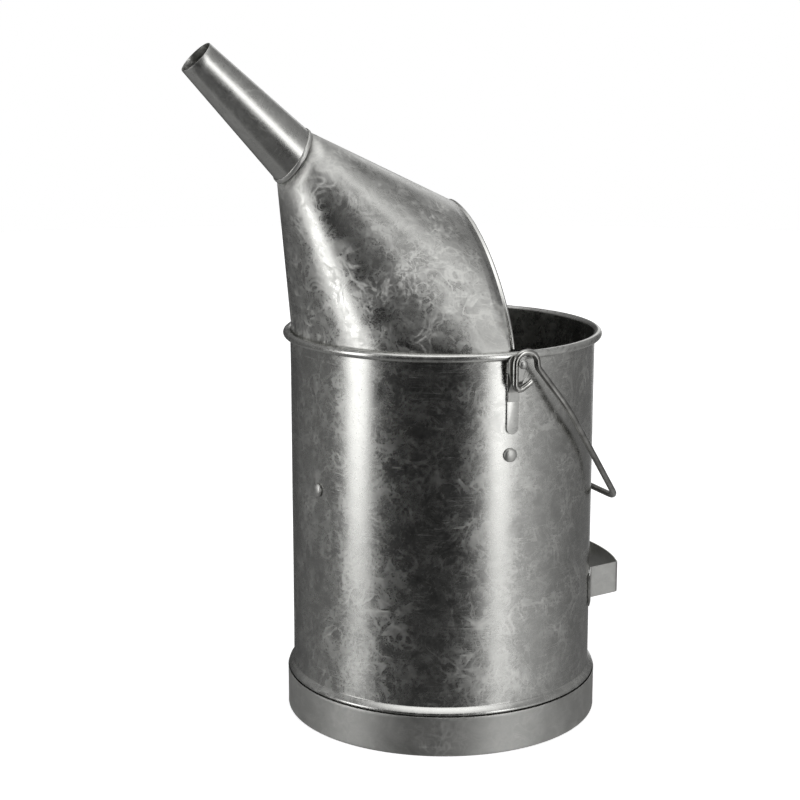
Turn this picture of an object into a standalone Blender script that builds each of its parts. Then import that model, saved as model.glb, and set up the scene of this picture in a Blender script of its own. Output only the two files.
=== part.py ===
"""Galvanised pouring can: a rolled sheet-steel can with a half hood, a tapered spout and a wire bail.

Metres, +Z up.  The spout points to -X, the bail hangs behind at +X, and the can stands on z = 0.
The origin is on the floor, midway between the spout's tip and the back of the tipping handle.
"""
import math

import bmesh
import bpy
from mathutils import Matrix, Vector

# ---------------------------------------------------------------- driving dimensions
SHEET = 0.0008            # thickness of the galvanised sheet
GAP = 0.0003              # clearance between pieces that touch
WELD = 0.00001            # corners closer than this are one corner
TURN_STEPS = 64           # facets round the can
SMALL_STEPS = 20          # facets round a rivet or a pin
OUTER_FACE = -1.0         # a surface drawn as the sheet's outer face
MIDDLE_FACE = 0.0         # a surface drawn through the sheet's middle

BODY_RADIUS = 0.1365      # outside of the straight wall
RIM_HEIGHT = 0.3483       # centre of the wired rim bead
BEAD_RADIUS = 0.0036      # outside of the sheet rolled round the rim wire
RIM_WIRE_RADIUS = 0.0023

SHOULDER_TOP = 0.0440     # where the wall starts to swell above the foot
SHOULDER_RADIUS = 0.1414
SHOULDER_NECK = 0.14105   # wall radius inside the foot hoop
SHOULDER_STEP = 0.0025    # height over which the wall draws in to that radius
CURL_START = -125.0       # where the rim's curl ends inside, in degrees from straight out
BODY_BOTTOM = 0.0090
BOTTOM_HEIGHT = 0.0200    # top face of the recessed bottom
BOTTOM_FLANGE = 0.0090    # height of the lower end of the bottom's flange
BOTTOM_BEND = 0.0020

FOOT_RADIUS = 0.14215
FOOT_TOP = 0.0355
FOOT_HEM = 0.0060         # height of the hem turned up inside the foot hoop
FOOT_HEM_INSET = 0.00205  # outer face of the hem, inside the hoop's outer face
FOOT_EDGE = 0.0004        # bevel of the folded lower edge

HOOD_LIFT = 0.0045        # the hood's lowest ruling, above the bead's centre
HOOD_SKIRT_DEPTH = 0.0120
ARCH_HEIGHT = 0.1176      # top of the hood's rear edge, above the bead's centre
ARCH_FOOT_X = 0.0028      # rear edge behind the can's axis, at the rim
ARCH_LEAN = 0.0072        # and how much further back it is at the top
ARCH_POWER = 1.615        # the arch is (1 - y ** power) ** (1 / root)
ARCH_ROOT = 1.361
EDGE_ROLL_RADIUS = 0.0022
EDGE_SINK = 0.0017        # the roll's centre, inside the sheet's outer face
EDGE_RAISE = 0.00055      # so that its ends stay clear of the rim's bead
EDGE_STEPS = 18
PANEL_RIM = 80.1          # the flat side panel starts here, in degrees round the rim from the front
PANEL_ARCH = 0.211        # and here on the rear edge, as a share from its foot to the ridge
PANEL_NECK = 110.9        # and ends here on the neck, in degrees up from its front lower side
PANEL_WIDTH = 0.1         # the panel's width at the neck, in degrees
FRONT_EASE = 0.21         # the front rulings bunch together towards the panel on the neck
RIDGE_SHARE = 0.2         # share of the neck that the last rulings, at the ridge, run over
RIDGE_POWER = 8           # and how late they do
HOOD_FRONT_COLUMNS = 18
HOOD_REAR_COLUMNS = 18
HOOD_CORNER_COLUMNS = 4
HOOD_ROWS = 3

NECK_REACH = 0.1400       # centre of the joint between hood and spout, ahead of the axis
NECK_RISE = 0.1584        # and above the rim
NECK_RADIUS = 0.0253
NECK_PITCH = math.radians(31.9)
SPOUT_PITCH = math.radians(44.7)
SPOUT_LENGTH = 0.1199
SPOUT_TIP_RADIUS = 0.0161
COLLAR_WIDTH = 0.0042
COLLAR_THICKNESS = 0.0008
COLLAR_START = 0.0005     # the collar's lower edge, along the spout
SPOUT_STEPS = 48

EAR_STRAP_HALF_WIDTH = 0.0055
EAR_STRAP_BOTTOM = 0.2812
EAR_STRAP_TOP = 0.3435
EAR_STRAP_THICKNESS = 0.0010
LUG_THICKNESS = 0.0012
LUG_BOTTOM = 0.3095
LUG_TOP = 0.3500
LUG_HALF_WIDTH = 0.0080
LUG_NARROW = 0.0052       # half width where the lug leaves the strap
LUG_CORNER_RADIUS = 0.0065
LUG_WIDENS = (0.0150, 0.0260)   # above its bottom, where the lug widens
LUG_STANDOFF = 0.0068     # inner face of the lug, off the wall, so that it clears the bead
LUG_STEPS_OUT = (0.0080, 0.0180)   # above its bottom, where it steps out to that
LUG_ROWS = 20
LUG_COLUMNS = 4

PIVOT_X = 0.0022          # bail pin, behind the can's axis
PIVOT_HEIGHT = 0.3430
PIN_RADIUS = 0.0021
PIN_HEAD_RADIUS = 0.0040
PIN_HEAD_HEIGHT = 0.0028
PIN_HEAD_STANDOFF = 0.0141

BAIL_WIRE_RADIUS = 0.00275
BAIL_STANDOFF = 0.0111    # centre of the wire off the wall, at the ears
BAIL_TILT = math.radians(49.5)
EYE_RADIUS = 0.0098       # bend over the pin
EYE_LEFT_X = -0.0032      # the eye's front leg, behind the can's axis
EYE_TOP = 0.3524
EYE_TAIL = (0.0115, 0.3272)
EYE_CORNER_HEIGHT = 0.3178
EYE_CORNER_RADIUS = 0.0045
ARM_START = (0.0276, 0.3276)   # on the straight arm, near the eye
ARM_TOP = (-0.015, -0.0004)    # (along the arm, ahead) where its line meets the eye's rear leg
ARM_TOP_RADIUS = 0.0080
ARM_BEND = (0.0400, 0.1395)    # (along the arm, out from the middle)
GRIP_CORNER_Y = 0.0765
ARM_BEND_RADIUS = 0.1000
GRIP_CORNER_RADIUS = 0.0200

HANDLE_TOP = 0.1280       # tipping handle at the back, low down
HANDLE_BOTTOM = 0.0990
HANDLE_THICKNESS = 0.0016
HANDLE_FOOT_Y = 0.0625    # where a leg leaves the wall
HANDLE_CORNER_X = 0.1545
HANDLE_CORNER_Y = 0.0570
HANDLE_CREST_X = 0.1655
HANDLE_FLANGE_Y = 0.0840   # end of the flange on the wall
HANDLE_FOOT_BEND = 0.0025
HANDLE_CORNER_BEND = 0.0050
HANDLE_EASE = 0.0400       # where the flange and the back bend only slightly
HANDLE_BACK_SHARE = 0.75   # the back follows its bow this far out to the corners
HANDLE_BACK_STEPS = 5

RIVET_HEAD_RADIUS = 0.0060
RIVET_HEAD_HEIGHT = 0.0030
RIVET_SHANK_RADIUS = 0.0025
RIVET_CLEARANCE = 0.0004  # under each head
RIVET_TAIL_RADIUS = 0.0048
RIVET_TAIL_HEIGHT = 0.0012
HOLE_CUT = 0.0100         # length of the cutter for a round hole
RIVETS = {                # name: (degrees round from +X, height)
    "side_level_rivet": (269.4, 0.2633),
    "front_level_rivet": (192.7, 0.2215),
}

COLLECTION = "pouring_can"

# The tip's lowest front corner and the handle's back are equally far from the origin.
TIP_FRONT = NECK_REACH + SPOUT_LENGTH * math.cos(SPOUT_PITCH) + SPOUT_TIP_RADIUS * math.sin(SPOUT_PITCH)
AXIS_X = (TIP_FRONT - HANDLE_CREST_X - HANDLE_THICKNESS / 2) / 2

GALVANISED = (0.46, 0.47, 0.45, 1.0)
DULL_GALVANISED = (0.36, 0.37, 0.36, 1.0)
WIRE_STEEL = (0.30, 0.30, 0.30, 1.0)
SOLDER = (0.58, 0.59, 0.58, 1.0)


# ---------------------------------------------------------------- helpers
def clear_scene():
    """Remove whatever the file opened with."""
    for item in list(bpy.data.objects):
        bpy.data.objects.remove(item, do_unlink=True)


def make_collection(name):
    group = bpy.data.collections.new(name)
    bpy.context.scene.collection.children.link(group)
    return group


def make_material(name, colour, roughness, metallic):
    """One Principled material for one sub-part."""
    material = bpy.data.materials.new(name)
    material.use_nodes = True
    shader = material.node_tree.nodes["Principled BSDF"]
    shader.inputs["Base Color"].default_value = colour
    shader.inputs["Roughness"].default_value = roughness
    shader.inputs["Metallic"].default_value = metallic
    return material


def add_object(name, data, material, location=(0.0, 0.0, 0.0)):
    """Put a mesh or curve in the part's collection with its material."""
    item = bpy.data.objects.new(name, data)
    item.location = location
    data.materials.append(material)
    bpy.data.collections[COLLECTION].objects.link(item)
    return item


def smooth(mesh, angle=40.0):
    mesh.shade_smooth()
    mesh.set_sharp_from_angle(angle=math.radians(angle))


def mesh_from_bmesh(name, bm):
    mesh = bpy.data.meshes.new(name)
    bm.normal_update()
    bm.to_mesh(mesh)
    bm.free()
    return mesh


def arc_points(centre, radius, start, end, count):
    """Points on an arc in a plane, angles in degrees, both ends included."""
    points = []
    for index in range(count + 1):
        angle = math.radians(start + (end - start) * index / count)
        points.append((centre[0] + radius * math.cos(angle), centre[1] + radius * math.sin(angle)))
    return points


def turned(name, profile, material, steps, location=(0.0, 0.0, 0.0)):
    """Turn a (radius, height) profile about the object's own Z."""
    mesh = bpy.data.meshes.new(name)
    mesh.from_pydata([(r, 0.0, z) for r, z in profile], [(i, i + 1) for i in range(len(profile) - 1)], [])
    item = add_object(name, mesh, material, location)
    screw = item.modifiers.new("turn", "SCREW")
    screw.steps = steps
    screw.render_steps = steps
    screw.use_merge_vertices = True
    screw.merge_threshold = WELD
    screw.use_smooth_shade = True
    return item


def sheet_grid(bm, columns, rows, place):
    """Add a grid of faces whose corner (column, row) stands at place(column, row)."""
    made = bmesh.ops.create_grid(bm, x_segments=columns, y_segments=rows, size=0.5)
    for vertex in made["verts"]:
        column = round((vertex.co.x + 0.5) * columns)
        row = round((vertex.co.y + 0.5) * rows)
        vertex.co = place(column, row)


def solidify(item, thickness, offset):
    """Give an open surface a thickness, inward from it or to both sides of it."""
    shell = item.modifiers.new("sheet", "SOLIDIFY")
    shell.thickness = thickness
    shell.offset = offset
    shell.use_even_offset = True


def turned_sheet(name, profile, material):
    """Turn an open profile of the outer face about the can's axis and give it the sheet's thickness."""
    solidify(turned(name, profile, material, TURN_STEPS, (AXIS_X, 0.0, 0.0)), SHEET, OUTER_FACE)
    return bpy.data.objects[name]


def mirror_sides(item):
    """Mirror a half that is open at the can's middle plane."""
    mirror = item.modifiers.new("sides", "MIRROR")
    mirror.use_axis = (False, True, False)
    mirror.use_clip = True
    mirror.merge_threshold = 5.0 * WELD


def wire(name, points, radius, material):
    """A round wire with capped ends along a list of points."""
    curve = bpy.data.curves.new(name, "CURVE")
    curve.dimensions = "3D"
    curve.bevel_depth = radius
    curve.bevel_resolution = 2
    curve.use_fill_caps = True
    spline = curve.splines.new("POLY")
    spline.points.add(len(points) - 1)
    for slot, point in zip(spline.points, points):
        slot.co = (point[0], point[1], point[2], 1.0)
    return add_object(name, curve, material)


def make_cutter(name, radius, length, matrix, cutters):
    """A round cutter, hidden from renders, along its own Z."""
    bm = bmesh.new()
    bmesh.ops.create_cone(bm, cap_ends=True, segments=20, radius1=radius, radius2=radius, depth=length)
    cutter = bpy.data.objects.new(name, mesh_from_bmesh(name, bm))
    cutter.matrix_world = matrix
    cutter.hide_render = True
    cutter.display_type = "WIRE"
    cutters.objects.link(cutter)
    return cutter


def cut(item, cutter):
    hole = item.modifiers.new("hole", "BOOLEAN")
    hole.operation = "DIFFERENCE"
    hole.object = cutter


# ---------------------------------------------------------------- can
def body_profile():
    """Outer face of the wall, from the end of the rim's curl down to the edge inside the foot hoop."""
    inner_bead = BEAD_RADIUS - SHEET
    profile = arc_points((BODY_RADIUS + inner_bead, RIM_HEIGHT), inner_bead, CURL_START, 180.0, 10)
    swell = SHOULDER_RADIUS - BODY_RADIUS
    for step in range(5):
        angle = math.radians(90.0 * step / 4)
        profile.append((BODY_RADIUS + swell * math.sin(angle), SHOULDER_TOP - swell * (1.0 - math.cos(angle))))
    profile.append((SHOULDER_NECK, SHOULDER_TOP - swell - SHOULDER_STEP))
    profile.append((SHOULDER_NECK, BODY_BOTTOM))
    return profile


def wall_matrix(degrees, height, standoff=0.0):
    """A frame on the wall whose Z points straight out from it."""
    angle = math.radians(degrees)
    reach = BODY_RADIUS + standoff
    place = Vector((AXIS_X + reach * math.cos(angle), reach * math.sin(angle), height))
    turn = Matrix.Rotation(angle, 4, "Z") @ Matrix.Rotation(math.pi / 2, 4, "Y")
    return Matrix.Translation(place) @ turn


def build_body(cutters):
    """The rolled wall: a curl round the rim wire, the straight wall and the swaged shoulder."""
    body = turned_sheet("body_shell", body_profile(), make_material("body", GALVANISED, 0.38, 1.0))
    for name, (degrees, height) in RIVETS.items():
        matrix = wall_matrix(degrees, height)
        cut(body, make_cutter(name + "_hole", RIVET_SHANK_RADIUS + GAP, HOLE_CUT, matrix, cutters))


def build_rim_wire():
    """The wire that the top edge is rolled round."""
    bpy.ops.mesh.primitive_torus_add(
        major_segments=TURN_STEPS, minor_segments=8,
        major_radius=BODY_RADIUS + BEAD_RADIUS - SHEET, minor_radius=RIM_WIRE_RADIUS,
        location=(AXIS_X, 0.0, RIM_HEIGHT),
    )
    torus = bpy.context.object
    mesh = torus.data
    location = torus.location.copy()
    bpy.data.objects.remove(torus)
    smooth(mesh)
    add_object("rim_wire", mesh, make_material("rim_wire", WIRE_STEEL, 0.45, 1.0), location)


def build_bottom():
    """The recessed bottom, a shallow pan with its flange turned down inside the wall."""
    edge = SHOULDER_NECK - SHEET - GAP
    profile = [(0.0, BOTTOM_HEIGHT), (edge * 0.5, BOTTOM_HEIGHT)]
    profile += arc_points((edge - BOTTOM_BEND, BOTTOM_HEIGHT - BOTTOM_BEND), BOTTOM_BEND, 90.0, 0.0, 3)
    profile.append((edge, BOTTOM_FLANGE))
    turned_sheet("bottom_disc", profile, make_material("bottom", DULL_GALVANISED, 0.5, 1.0))


def build_foot():
    """The hoop that the can stands on, with its lower edge turned up inside."""
    inner = FOOT_RADIUS - FOOT_HEM_INSET
    profile = [(FOOT_RADIUS, FOOT_TOP), (FOOT_RADIUS, FOOT_EDGE), (FOOT_RADIUS - FOOT_EDGE, 0.0)]
    profile += [(inner + FOOT_EDGE, 0.0), (inner, FOOT_EDGE), (inner, FOOT_HEM)]
    turned_sheet("foot_hoop", profile, make_material("foot", GALVANISED, 0.42, 1.0))


def turned_rivet(name, profile, matrix, material):
    """A headed pin turned about its own axis and set on the wall."""
    rivet = turned(name, profile, material, SMALL_STEPS)
    rivet.matrix_world = matrix
    return rivet


def build_level_rivets():
    """Two round-headed rivets through the wall, whose inner heads mark filling levels."""
    material = make_material("level_rivets", GALVANISED, 0.35, 1.0)
    outside = RIVET_CLEARANCE
    inside = -SHEET - RIVET_CLEARANCE
    for name, (degrees, height) in RIVETS.items():
        profile = [(0.0, outside + RIVET_HEAD_HEIGHT)]
        for step in range(1, 6):
            angle = math.radians(90.0 * step / 5)
            dome = outside + RIVET_HEAD_HEIGHT * math.cos(angle)
            profile.append((RIVET_HEAD_RADIUS * math.sin(angle), dome))
        profile += [(RIVET_SHANK_RADIUS, outside), (RIVET_SHANK_RADIUS, inside)]
        profile += [(RIVET_TAIL_RADIUS, inside), (RIVET_TAIL_RADIUS, inside - RIVET_TAIL_HEIGHT)]
        profile.append((0.0, inside - RIVET_TAIL_HEIGHT))
        turned_rivet(name, profile, wall_matrix(degrees, height), material)


# ---------------------------------------------------------------- hood and spout
def neck_frame():
    """Centre, forward normal and upward direction of the joint between hood and spout."""
    centre = Vector((AXIS_X - NECK_REACH, 0.0, RIM_HEIGHT + NECK_RISE))
    normal = Vector((-math.cos(NECK_PITCH), 0.0, math.sin(NECK_PITCH)))
    upward = Vector((math.sin(NECK_PITCH), 0.0, math.cos(NECK_PITCH)))
    return centre, normal, upward


def neck_point(degrees):
    """A point on the neck, from 0 at its front lower side to 180 on the ridge, on the -Y half."""
    centre, _, upward = neck_frame()
    angle = math.radians(degrees)
    return centre - upward * NECK_RADIUS * math.cos(angle) - Vector((0.0, NECK_RADIUS * math.sin(angle), 0.0))


def arch_point(y, inset):
    """A point on the hood's rear edge, moved forward by inset."""
    rise = ARCH_HEIGHT * (1.0 - (abs(y) / BODY_RADIUS) ** ARCH_POWER) ** (1.0 / ARCH_ROOT)
    back = ARCH_FOOT_X + ARCH_LEAN * rise / ARCH_HEIGHT - inset
    return Vector((AXIS_X + back, y, RIM_HEIGHT + rise))


def hood_corner_y():
    """How far out the rear edge is where it comes down to the hood's lowest ruling."""
    return BODY_RADIUS * (1.0 - (HOOD_LIFT / ARCH_HEIGHT) ** ARCH_ROOT) ** (1.0 / ARCH_POWER)


HOOD_EDGE_INSET = 2.0 * EDGE_ROLL_RADIUS + GAP


def hood_rim_point(degrees):
    """A point on the hood's lowest ruling end, in degrees round from the front on the -Y half."""
    corner = arch_point(-hood_corner_y(), HOOD_EDGE_INSET)
    radius = math.hypot(corner.x - AXIS_X, corner.y)
    angle = math.radians(180.0 + degrees)
    return Vector((AXIS_X + radius * math.cos(angle), radius * math.sin(angle), RIM_HEIGHT + HOOD_LIFT))


def hood_corner_degrees():
    """Where the rear edge comes down on the rim, in degrees round from the front."""
    corner = arch_point(-hood_corner_y(), HOOD_EDGE_INSET)
    return math.degrees(math.atan2(-corner.y, AXIS_X - corner.x))


def hood_arch_point(share):
    """A point on the sheet's rear edge, from 0 at its foot to 1 on the ridge."""
    place = arch_point(-hood_corner_y() * math.cos(share * math.pi / 2), HOOD_EDGE_INSET)
    if share >= 1.0:
        place.y = 0.0
    return place


def hood_ruling(column):
    """Both ends of a straight ruling that runs up to the neck, counted from the front to the ridge."""
    if column <= HOOD_FRONT_COLUMNS:
        share = column / HOOD_FRONT_COLUMNS
        end = PANEL_NECK * ((1.0 + FRONT_EASE) * share - FRONT_EASE * share ** 2)
        base = hood_rim_point(PANEL_RIM * share)
    else:
        share = (column - HOOD_FRONT_COLUMNS - 1) / HOOD_REAR_COLUMNS
        turn = (1.0 - RIDGE_SHARE) * share + RIDGE_SHARE * share ** RIDGE_POWER
        end = PANEL_NECK + PANEL_WIDTH + (180.0 - PANEL_WIDTH - PANEL_NECK) * turn
        base = hood_arch_point(PANEL_ARCH + (1.0 - PANEL_ARCH) * share)
    top = neck_point(end)
    if column in (0, HOOD_FRONT_COLUMNS + 1 + HOOD_REAR_COLUMNS):
        top.y = 0.0
    return base, top


def build_hood():
    """A sheet bent along straight lines from the neck to the rim and the rear arch, with a skirt."""
    bm = bmesh.new()

    def ruled(column, row):
        base, top = hood_ruling(column)
        return base.lerp(top, row / HOOD_ROWS)

    def corner(column, row):
        share = column / HOOD_CORNER_COLUMNS
        base = hood_rim_point(PANEL_RIM + (hood_corner_degrees() - PANEL_RIM) * share)
        return base.lerp(hood_arch_point(PANEL_ARCH * (1.0 - share)), row)

    def skirt(column, row):
        if column <= HOOD_FRONT_COLUMNS:
            degrees = PANEL_RIM * column / HOOD_FRONT_COLUMNS
        else:
            share = (column - HOOD_FRONT_COLUMNS) / HOOD_CORNER_COLUMNS
            degrees = PANEL_RIM + (hood_corner_degrees() - PANEL_RIM) * share
        base = hood_rim_point(degrees)
        if row == 2:
            return base
        outward = Vector((base.x - AXIS_X, base.y, 0.0)).normalized() * (BODY_RADIUS - SHEET - GAP)
        return Vector((AXIS_X + outward.x, outward.y, RIM_HEIGHT - HOOD_SKIRT_DEPTH * (1 - row)))

    sheet_grid(bm, HOOD_FRONT_COLUMNS + 1 + HOOD_REAR_COLUMNS, HOOD_ROWS, ruled)
    sheet_grid(bm, HOOD_CORNER_COLUMNS, 1, corner)
    sheet_grid(bm, HOOD_FRONT_COLUMNS + HOOD_CORNER_COLUMNS, 2, skirt)
    bmesh.ops.remove_doubles(bm, verts=bm.verts, dist=WELD)
    mesh = mesh_from_bmesh("hood", bm)
    smooth(mesh)
    hood = add_object("hood", mesh, make_material("hood", GALVANISED, 0.36, 1.0))
    mirror_sides(hood)
    solidify(hood, SHEET, OUTER_FACE)


def build_hood_edge():
    """The wire in the hood's rear edge with the sheet rolled round it."""
    corner_y = hood_corner_y()
    near = 0.0005
    points = []
    for step in range(-EDGE_STEPS, EDGE_STEPS + 1):
        y = corner_y * math.sin(step / EDGE_STEPS * math.pi / 2)
        place = arch_point(y, EDGE_ROLL_RADIUS)
        ahead = arch_point(min(y + near, corner_y), 0.0) - arch_point(max(y - near, -corner_y), 0.0)
        place += Vector((0.0, ahead.z, -ahead.y)).normalized() * EDGE_SINK
        place.z += EDGE_RAISE
        points.append(place)
    wire("hood_edge_roll", points, EDGE_ROLL_RADIUS, make_material("hood_edge", SOLDER, 0.34, 1.0))


def spout_point(degrees, share, lift):
    """A point on the spout, share of the way to its tip and lift above its outer face."""
    centre, normal, upward = neck_frame()
    along = Vector((-math.cos(SPOUT_PITCH), 0.0, math.sin(SPOUT_PITCH)))
    across = Vector((math.sin(SPOUT_PITCH), 0.0, math.cos(SPOUT_PITCH)))
    angle = math.radians(degrees)
    side = Vector((0.0, -math.sin(angle), 0.0))
    low = centre + normal * GAP + (side - upward * math.cos(angle)) * (NECK_RADIUS + lift)
    high = centre + along * SPOUT_LENGTH + (side - across * math.cos(angle)) * (SPOUT_TIP_RADIUS + lift)
    return low.lerp(high, share)


def ring_shell(name, shares, lift, material):
    """A tube of sheet that follows the spout between two shares of its length."""
    bm = bmesh.new()

    def place(column, row):
        return spout_point(360.0 * column / SPOUT_STEPS, shares[row], lift)

    sheet_grid(bm, SPOUT_STEPS, len(shares) - 1, place)
    bmesh.ops.remove_doubles(bm, verts=bm.verts, dist=WELD)
    mesh = mesh_from_bmesh(name, bm)
    smooth(mesh)
    return add_object(name, mesh, material)


def build_spout():
    """The tapered spout, open at both ends."""
    shares = (0.0, 0.5, 1.0)
    spout = ring_shell("spout", shares, 0.0, make_material("spout", GALVANISED, 0.34, 1.0))
    solidify(spout, SHEET, OUTER_FACE)


def build_collar():
    """The narrow band that is soldered round the foot of the spout."""
    lift = GAP + COLLAR_THICKNESS
    shares = (COLLAR_START / SPOUT_LENGTH, (COLLAR_START + COLLAR_WIDTH) / SPOUT_LENGTH)
    collar = ring_shell("spout_collar", shares, lift, make_material("collar", SOLDER, 0.4, 1.0))
    solidify(collar, COLLAR_THICKNESS, OUTER_FACE)


# ---------------------------------------------------------------- ears and bail
def build_ear_strap(name, side, material):
    """The flat strap on the wall below the rim, with a round lower end."""
    half = EAR_STRAP_HALF_WIDTH
    outline = arc_points((0.0, EAR_STRAP_BOTTOM + half), half, 180.0, 360.0, 10)
    outline += [(half, EAR_STRAP_TOP), (-half, EAR_STRAP_TOP)]
    curve = bpy.data.curves.new(name, "CURVE")
    curve.dimensions = "2D"
    curve.fill_mode = "BOTH"
    curve.extrude = EAR_STRAP_THICKNESS / 2
    spline = curve.splines.new("POLY")
    spline.points.add(len(outline) - 1)
    for slot, (x, z) in zip(spline.points, outline):
        slot.co = (x, z, 0.0, 1.0)
    spline.use_cyclic_u = True
    reach = BODY_RADIUS + GAP + EAR_STRAP_THICKNESS / 2
    strap = add_object(name, curve, material, (AXIS_X, side * reach, 0.0))
    strap.rotation_euler = (math.pi / 2, 0.0, 0.0)


def share_between(value, limits):
    """How far value is from one limit to the other, kept between 0 and 1."""
    low, high = limits
    return min(max((value - low) / (high - low), 0.0), 1.0)


def lug_half_width(height):
    """Narrow at the strap, wider at the pin, with rounded top corners."""
    corner = LUG_CORNER_RADIUS
    drop = height - (LUG_TOP - corner)
    if drop > 0.0:
        return LUG_HALF_WIDTH - corner + math.sqrt(max(corner ** 2 - drop ** 2, 0.0))
    return LUG_NARROW + (LUG_HALF_WIDTH - LUG_NARROW) * share_between(height - LUG_BOTTOM, LUG_WIDENS)


def lug_standoff(height):
    """Inner face of the lug off the wall: on the strap below, clear of the bead above."""
    low = EAR_STRAP_THICKNESS + 2.0 * GAP
    share = share_between(height - LUG_BOTTOM, LUG_STEPS_OUT)
    return low + (LUG_STANDOFF - low) * share * share * (3.0 - 2.0 * share)


def build_ear_lug(name, side, material, cutters):
    """The stamped plate that stands off over the bead and carries the pin."""
    bm = bmesh.new()

    def place(column, row):
        height = LUG_BOTTOM + (LUG_TOP - LUG_BOTTOM) * row / LUG_ROWS
        x = AXIS_X + lug_half_width(height) * (2.0 * column / LUG_COLUMNS - 1.0)
        reach = BODY_RADIUS + lug_standoff(height) + LUG_THICKNESS / 2
        return Vector((x, side * reach, height))

    sheet_grid(bm, LUG_COLUMNS, LUG_ROWS, place)
    lug = add_object(name, mesh_from_bmesh(name, bm), material)
    solidify(lug, LUG_THICKNESS, MIDDLE_FACE)
    hole = wall_matrix(90.0 * side, PIVOT_HEIGHT, LUG_STANDOFF)
    hole.translation.x += PIVOT_X
    cut(lug, make_cutter(name + "_hole", PIN_RADIUS + GAP, HOLE_CUT, hole, cutters))


def build_pin(name, side, material):
    """The headed pin that the bail's eye hangs on."""
    profile = [(0.0, PIN_HEAD_STANDOFF + PIN_HEAD_HEIGHT)]
    for step in range(1, 5):
        angle = math.radians(90.0 * step / 4)
        dome = PIN_HEAD_STANDOFF + PIN_HEAD_HEIGHT * math.cos(angle)
        profile.append((PIN_HEAD_RADIUS * math.sin(angle), dome))
    profile += [(PIN_RADIUS, PIN_HEAD_STANDOFF), (PIN_RADIUS, LUG_STANDOFF), (0.0, LUG_STANDOFF)]
    matrix = wall_matrix(90.0 * side, PIVOT_HEIGHT)
    matrix.translation.x += PIVOT_X
    turned_rivet(name, profile, matrix, material)


def build_ears(cutters):
    """Facing the way the spout points, the left ear is at -Y."""
    strap = make_material("ear_straps", GALVANISED, 0.42, 1.0)
    lug = make_material("ear_lugs", DULL_GALVANISED, 0.42, 1.0)
    pin = make_material("ear_pins", GALVANISED, 0.3, 1.0)
    for word, side in (("left", -1.0), ("right", 1.0)):
        build_ear_strap(word + "_ear_strap", side, strap)
        build_ear_lug(word + "_ear_lug", side, lug, cutters)
        build_pin(word + "_bail_pin", side, pin)


def rounded_path(corners, step_degrees=18.0):
    """A path through corners given as (point, bend radius), each corner rounded by an arc."""
    path = [corners[0][0]]
    for index in range(1, len(corners) - 1):
        point, radius = corners[index]
        before = (corners[index - 1][0] - point).normalized()
        after = (corners[index + 1][0] - point).normalized()
        opening = before.angle(after)
        turn = math.pi - opening
        middle = (before + after).normalized()
        centre = point + middle * radius / math.sin(opening / 2)
        steps = max(2, round(math.degrees(turn) / step_degrees))
        across = (before - after).normalized()
        for step in range(steps + 1):
            angle = turn * (step / steps - 0.5)
            path.append(centre - middle * radius * math.cos(angle) - across * radius * math.sin(angle))
    path.append(corners[-1][0])
    return path


def bail_plane(along, out):
    """A point in the plane of the arms and grip, as the bail hangs behind the can."""
    x = AXIS_X + ARM_START[0] + along * math.cos(BAIL_TILT)
    return Vector((x, out, ARM_START[1] - along * math.sin(BAIL_TILT)))


def build_bail():
    """One wire: an eye on each pin, two arms that draw in, and a straight grip across the back."""
    out = -(BODY_RADIUS + BAIL_STANDOFF)
    left = AXIS_X + EYE_LEFT_X
    right = left + 2.0 * EYE_RADIUS
    crest = (BODY_RADIUS + BAIL_WIRE_RADIUS + GAP - ARM_START[0]) / math.cos(BAIL_TILT)
    arm_top = bail_plane(ARM_TOP[0], out)
    arm_top.x += ARM_TOP[1]
    grip = bail_plane(crest, 0.0)
    grip_corner = bail_plane(crest, -GRIP_CORNER_Y)
    bend = EYE_RADIUS - WELD
    corners = [
        (Vector((AXIS_X + EYE_TAIL[0], out, EYE_TAIL[1])), 0.0),
        (Vector((left, out, EYE_CORNER_HEIGHT)), EYE_CORNER_RADIUS),
        (Vector((left, out, EYE_TOP)), bend),
        (Vector((right, out, EYE_TOP)), bend),
        (arm_top, ARM_TOP_RADIUS),
        (bail_plane(ARM_BEND[0], -ARM_BEND[1]), ARM_BEND_RADIUS),
        (grip_corner, GRIP_CORNER_RADIUS),
        (grip, 0.0),
    ]
    half = rounded_path(corners)
    points = half + [Vector((p.x, -p.y, p.z)) for p in reversed(half[:-1])]
    pivot = Vector((AXIS_X + PIVOT_X, 0.0, PIVOT_HEIGHT))
    steel = make_material("bail", WIRE_STEEL, 0.32, 1.0)
    bail = wire("bail", [p - pivot for p in points], BAIL_WIRE_RADIUS, steel)
    bail.location = pivot


# ---------------------------------------------------------------- tipping handle
def handle_back(y):
    """A point on the bowed back of the tipping handle."""
    sagitta = HANDLE_CREST_X - HANDLE_CORNER_X
    bow = (HANDLE_CORNER_Y ** 2 + sagitta ** 2) / (2.0 * sagitta)
    return Vector((HANDLE_CREST_X - bow + math.sqrt(bow ** 2 - y ** 2), y, 0.0))


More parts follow.
